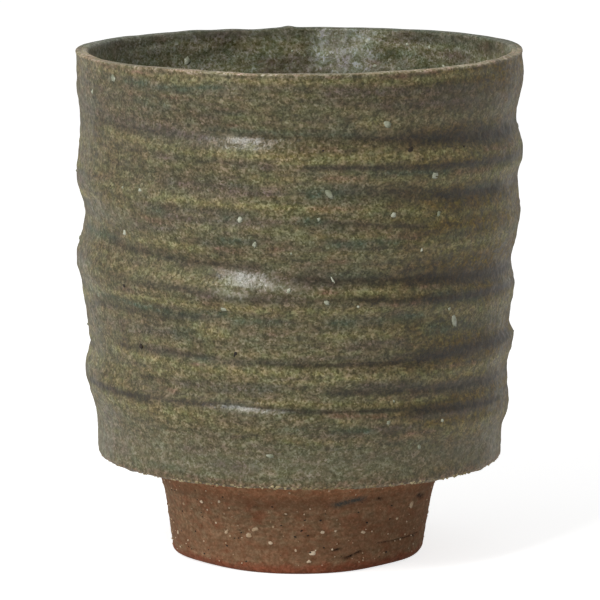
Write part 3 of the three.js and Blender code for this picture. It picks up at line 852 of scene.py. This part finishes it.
def crumb_spots(count=420, sizes=(0.15, 0.5), sink=0.35):
    """Crumbs of glaze along the bevel of the wall's lower edge."""
    chance = np.random.default_rng(74)
    spots = []
    for _ in range(count):
        angle = chance.choice((chance.normal(*CRUMB_CROWD), chance.uniform(0, FULL_TURN)))
        corner = float(corner_height(angle))
        drop = chance.uniform(0, BEVEL_HEIGHT)
        inset = sink + drop * BEVEL_WIDTH / BEVEL_HEIGHT
        place = on_ring(angle, float(outside_radius(angle, corner)) - inset, corner - drop)
        size = chance.uniform(*sizes)
        spots.append((place, on_ring(angle, 1, 0.0), *(share * size for share in CRUMB_SHAPE)))
    return spots


# Materials

def colour(red, green, blue):
    """A display colour of 0 to 255 as Blender's own linear colour."""
    shares = (part / 255 for part in (red, green, blue))
    return (*(s / 12.92 if s < 0.04045 else ((s + 0.055) / 1.055) ** 2.4 for s in shares), 1.0)


class Look:
    """The node tree of a material or a world, with short names for its nodes."""

    def __init__(self, owner, shader="Principled BSDF"):
        owner.use_nodes = True
        self.owner = owner
        self.tree = owner.node_tree
        self.shader = self.tree.nodes[shader]

    def feed(self, socket, value):
        if isinstance(value, bpy.types.NodeSocket):
            self.tree.links.new(value, socket)
        else:
            socket.default_value = value

    def set(self, socket, value):
        self.feed(self.shader.inputs[socket], value)

    def make(self, kind, inputs, output=0, **settings):
        """Adds a node, feeds its inputs and gives one of its outputs."""
        node = self.tree.nodes.new(kind)
        for key, value in settings.items():
            setattr(node, key, value)
        for socket, value in inputs.items():
            self.feed(node.inputs[socket], value)
        return node.outputs[output]

    def place(self, flatness=1):
        """Places for a texture whose patches are that many times wider than tall."""
        place = self.make("ShaderNodeTexCoord", {}, "Object")
        return self.make("ShaderNodeVectorMath", {0: place, 1: (1, 1, flatness)}, operation="MULTIPLY")

    def noise(self, scale, detail=2.0, roughness=0.5, flatness=1):
        inputs = {"Scale": scale, "Detail": detail, "Roughness": roughness, "Vector": self.place(flatness)}
        return self.make("ShaderNodeTexNoise", inputs, "Fac")

    def cells(self, scale):
        """A random shade for each small cell of the surface."""
        shade = self.make("ShaderNodeTexVoronoi", {"Vector": self.place(), "Scale": scale}, "Color")
        return self.ramp(shade, 0.15, 0.85)

    def ramp(self, value, low, high, start=0.0, end=1.0):
        inputs = dict(enumerate((value, low, high, start, end)))
        return self.make("ShaderNodeMapRange", inputs, interpolation_type="SMOOTHSTEP")

    def spread(self, noise, start=0.0, end=1.0):
        """A noise's usual values, spread from a start to an end."""
        return self.ramp(noise, 0.3, 0.7, start, end)

    def math(self, operation, first, second):
        return self.make("ShaderNodeMath", {0: first, 1: second}, operation=operation)

    def mix(self, share, first, second, blend="MIX"):
        inputs = {0: share, 6: first, 7: second}
        return self.make("ShaderNodeMix", inputs, 2, data_type="RGBA", blend_type=blend)

    def times(self, tone, factors):
        return self.mix(1.0, tone, factors, "MULTIPLY")

    def varied(self, tone, share, low, high):
        """A tone multiplied by what lies between two sets of factors."""
        return self.times(tone, self.mix(share, low, high))

    def field(self, name):
        return self.make("ShaderNodeAttribute", {}, "Fac", attribute_name=name)

    def marked(self, tone, field, looseness, tint):
        """A tone tinted where a field has marks."""
        return self.mix(self.math("MULTIPLY", self.field(field), looseness), tone, tint)

    def frayed(self, tone, field, noise, tint):
        """A tone tinted where a field is strong, with a broken edge."""
        return self.mix(self.ramp(self.math("ADD", self.field(field), noise), 0.8, 1.4), tone, tint)

    def slant(self):
        """How far the surface is turned away, for its gloss: 0 straight on, 1 at its edge."""
        return self.make("ShaderNodeLayerWeight", {}, "Facing")

    def bump(self, height, distance, strength):
        inputs = {"Height": height, "Distance": distance * MM, "Strength": strength}
        self.set("Normal", self.make("ShaderNodeBump", inputs))

    def between_rays(self, lit, seen):
        """One value for the light on the cup, and another for the camera and reflections."""
        path = self.tree.nodes.new("ShaderNodeLightPath").outputs
        rays = path["Is Camera Ray"]
        for kind in ("Is Glossy Ray", "Is Transmission Ray"):
            rays = self.math("MAXIMUM", rays, path[kind])
        return self.make("ShaderNodeMapRange", {"Value": rays, "To Min": lit, "To Max": seen})


def glaze_ground(look, dull, bright, hazy):
    """The glaze between its marks: streaks, patches and wisps."""
    streak = look.noise(110, 4, 0.6, flatness=7)
    patch = look.noise(55, 3, 0.6, flatness=2.5)
    wisp = look.noise(330, 3, 0.6, flatness=4)
    tone = look.mix(look.ramp(streak, 0.36, 0.64), colour(*dull), colour(*bright))
    tone = look.mix(look.ramp(patch, 0.45, 0.7), tone, colour(*hazy))
    darker = look.mix(0.27, tone, colour(44, 38, 28))
    paler = look.mix(0.23, tone, colour(140, 132, 96))
    return look.mix(look.ramp(wisp, 0.34, 0.66), darker, paler)


def mottled(look, tone):
    """A tone broken up into fine specks and small clouds."""
    tinge = look.noise(340, 3, 0.65, flatness=1.6)
    cloud = look.noise(760, 2, 0.6)
    tone = look.varied(tone, look.cells(3200), (0.55, 0.54, 0.36, 1), (1.45, 1.44, 1.78, 1))
    tone = look.varied(tone, look.cells(1600), (0.69, 0.69, 0.56, 1), (1.33, 1.33, 1.52, 1))
    tone = look.varied(tone, look.spread(tinge), (1.08, 0.966, 1, 1), (0.92, 1.034, 1, 1))
    return look.varied(tone, look.spread(cloud), (0.78, 0.78, 0.72, 1), (1.23, 1.23, 1.32, 1))


def glaze_look(name, dull, bright, hazy, ash_and_sheen, mottling):
    look = Look(bpy.data.materials.new(name))
    grain = look.noise(2600, 1.5, 0.6)
    coarse = look.noise(850, 2, 0.6)
    firm = look.spread(coarse, 0.85, 1.2)
    gaps = look.math("MULTIPLY", look.spread(coarse, 0.55, 1.4), look.ramp(grain, 0.35, 0.65, 0.85, 1.1))
    tone = glaze_ground(look, dull, bright, hazy)
    # Painted shade towards the sides, most on the right, away from the lights
    tone = look.marked(tone, "painted_side_shade", firm, look.times(tone, (0.735, 0.55, 0.035, 1)))
    layers = {
        "ash_and_sheen": (firm, ash_and_sheen), "yellow": (gaps, (122, 115, 69)), "grey": (gaps, (84, 74, 58)),
        "teal": (gaps, (66, 74, 51)), "dark": (firm, (42, 32, 10)), "rust": (gaps, (106, 83, 58)),
        # The last tint here is painted highlight, for the paler patches at the ridges' highlights
        "lip": (firm, (164, 149, 114)), "edge": (gaps, (110, 92, 62)), "painted_highlight": (gaps, (172, 168, 142)),
    }
    for field, (looseness, tint) in layers.items():
        tone = look.marked(tone, field, looseness, colour(*tint))
    # The glaze is less mottled under the pale ash and the painted reflection
    share = look.ramp(look.field("ash_and_sheen"), 0, 1, mottling, 0.6 * mottling)
    look.set("Base Color", look.mix(share, tone, mottled(look, tone)))
    slant = look.slant()
    fading = look.math("ADD", look.ramp(slant, 0.2, 0.55, 0, 0.27), look.ramp(slant, 0.7, 0.95, 0, 0.15))
    look.set("Roughness", look.math("ADD", look.ramp(coarse, 0.35, 0.65, 0.18, 0.29), fading))
    look.set("Specular IOR Level", 0.3)
    look.bump(look.math("ADD", look.math("MULTIPLY", grain, 0.2), coarse), 0.16, 0.65)
    return look.owner


def clay_look():
    look = Look(bpy.data.materials.new("bare_clay"))
    grain = look.noise(2600, 2, 0.6)
    coarse = look.noise(420, 3, 0.6)
    lines = look.noise(160, 3, 0.6, flatness=9)
    tinge = look.noise(520, 3, 0.65, flatness=2)
    cloud = look.noise(1100, 2, 0.6)
    loose = look.spread(grain, 0.5, 1.3)
    tone = look.mix(look.spread(lines), colour(133, 103, 77), colour(147, 117, 88))
    tone = look.mix(look.ramp(coarse, 0.45, 0.75), tone, colour(132, 92, 66))
    tone = look.frayed(tone, "red", coarse, colour(154, 113, 82))
    tone = look.frayed(tone, "worn", coarse, colour(136, 84, 60))
    tone = look.varied(tone, look.cells(3400), (0.86, 0.83, 0.79, 1), (1.14, 1.17, 1.22, 1))
    tone = look.varied(tone, look.cells(1700), (0.84, 0.81, 0.78, 1), (1.16, 1.19, 1.23, 1))
    tone = look.varied(tone, look.spread(tinge), (1.09, 0.965, 0.94, 1), (0.91, 1.035, 1.06, 1))
    tone = look.varied(tone, look.spread(cloud), (0.88, 0.88, 0.87, 1), (1.12, 1.12, 1.13, 1))
    # The first tint is painted shade; the smears and the pits are the clay's own
    for field, tint in {"shade": (112, 76, 53), "smear": (70, 72, 68), "pit": (36, 26, 19)}.items():
        tone = look.marked(tone, field, loose, colour(*tint))
    look.set("Base Color", tone)
    look.set("Roughness", look.spread(grain, 0.78, 0.95))
    look.set("Specular IOR Level", 0.15)
    look.bump(look.math("ADD", grain, coarse), 0.12, 0.5)
    return look.owner


def grain_look(name, dull, bright, roughness):
    look = Look(bpy.data.materials.new(name))
    cloud = look.noise(240, 3, 0.7)
    look.set("Base Color", look.mix(look.ramp(cloud, 0.35, 0.65), colour(*dull), colour(*bright)))
    look.set("Roughness", look.spread(cloud, roughness, roughness + 0.15))
    look.set("Specular IOR Level", 0.25)
    look.bump(look.noise(3000), 0.08, 0.5)
    return look.owner


# The whole cup

def dress(piece, material, slot, *nodes):
    piece.data.materials.append(material)
    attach(piece, "root")
    if nodes:
        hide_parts(*nodes)


def make_cup():
    outside = glaze_look(
        "ash_glaze_outside", dull=(83, 74, 46), bright=(102, 95, 56), hazy=(91, 87, 55), ash_and_sheen=(112, 108, 80),
        mottling=1.0,
    )
    # The lining's near-white ash tint is the colour of its painted reflection
    inside = glaze_look(
        "ash_glaze_inside", dull=(122, 117, 90), bright=(138, 136, 103), hazy=(128, 130, 103),
        ash_and_sheen=(236, 246, 222), mottling=0.8,
    )
    clay = clay_look()
    slip = grain_look("fired_slip", (96, 66, 48), (122, 88, 64), roughness=0.8)
    pale = grain_look("pale_grain", (120, 124, 100), (200, 202, 182), roughness=0.35)
    pit = grain_look("burst_pit", (26, 20, 16), (48, 40, 31), roughness=0.6)
    grog = grain_look("pale_grog", (194, 166, 132), (238, 220, 192), roughness=0.7)
    crumb = grain_look("glaze_crumb", (128, 110, 74), (202, 186, 146), roughness=0.5)
    wall_pit_spots = spots_on(wall_at, WALL_PITS, sink=0.24, depth=0.1)
    dress(make_outer_glaze(), outside, "ash_glaze_outside", "outer_glaze")
    dress(make_inner_glaze(), inside, "ash_glaze_inside", "inner_glaze")
    dress(make_clay_body(), clay, "bare_clay", "clay_body")
    dress(make_foot_ring(), clay, "bare_clay", "foot_ring")
    dress(make_slip(), slip, "slip", "luting_slip")
    dress(lumps("wall_grains", wall_grain_spots(), seed=81), pale, "ash_glaze_outside")
    dress(lumps("wall_pits", wall_pit_spots, seed=85), pit, "ash_glaze_outside")
    dress(lumps("lining_grains", lining_grain_spots(), seed=82), pale, "ash_glaze_inside")
    dress(lumps("foot_grog", foot_grain_spots(), seed=83), grog, "bare_clay")
    dress(lumps("foot_pits", foot_pit_spots(), seed=86), pit, "bare_clay")
    dress(lumps("edge_crumbs", crumb_spots(), seed=84), crumb, "ash_glaze_outside")


# Stage, light and camera

FLOOR_SIZE = 6000
FLOOR_GLOW = 0.77  # what the lit floor lacks of white
WORLD_LIGHT = 0.28
CAMERA_PLACE = (0.15, -939.6, 196.8)
CAMERA_PITCH = 0.1593
CAMERA_LENS = 316.4
LIGHT_DISTANCE = 900
# Softboxes: angle round the cup and rise in degrees, width and height, power in watts
SOFTBOXES = {
    "key_softbox": (-31, 42, 240, 360, 4.1),
    "side_softbox": (-60, 12, 1300, 700, 2.6),
}


def make_floor():
    bpy.ops.mesh.primitive_plane_add(size=FLOOR_SIZE * MM)
    floor = bpy.context.object
    floor.name = "studio_floor"
    look = Look(bpy.data.materials.new("studio_floor"))
    look.set("Base Color", (0.8, 0.8, 0.8, 1))
    look.set("Roughness", 0.9)
    look.set("Specular IOR Level", 0.0)
    look.set("Emission Color", (1, 1, 1, 1))
    look.set("Emission Strength", look.between_rays(lit=0.0, seen=FLOOR_GLOW))
    floor.data.materials.append(look.owner)


def make_world():
    look = Look(bpy.data.worlds.new("studio"), "Background")
    look.set("Color", (1, 1, 1, 1))
    look.set("Strength", look.between_rays(lit=WORLD_LIGHT, seen=1.0))
    bpy.context.scene.world = look.owner


def make_softbox(name, degrees, rise, width, height, power):
    lamp = bpy.data.lights.new(name, "AREA")
    lamp.shape = "RECTANGLE"
    lamp.size = width * MM
    lamp.size_y = height * MM
    lamp.energy = power
    softbox = new_object(name, lamp)
    angle = math.radians(degrees)
    lift = math.radians(rise)
    place = on_ring(angle, LIGHT_DISTANCE * math.cos(lift), CUP_HEIGHT / 2 + LIGHT_DISTANCE * math.sin(lift))
    softbox.location = [part * MM for part in place]
    softbox.rotation_euler = Euler((QUARTER_TURN - lift, 0, angle))


def make_camera():
    camera = new_object("camera", bpy.data.cameras.new("camera"))
    camera.data.lens = CAMERA_LENS
    camera.location = [part * MM for part in CAMERA_PLACE]
    camera.rotation_euler = Euler((QUARTER_TURN - CAMERA_PITCH, 0, 0))
    bpy.context.scene.camera = camera


bpy.context.scene.view_settings.view_transform = "Standard"
make_camera()
make_cup()
make_floor()
make_world()
for softbox_name, settings in SOFTBOXES.items():
    make_softbox(softbox_name, *settings)
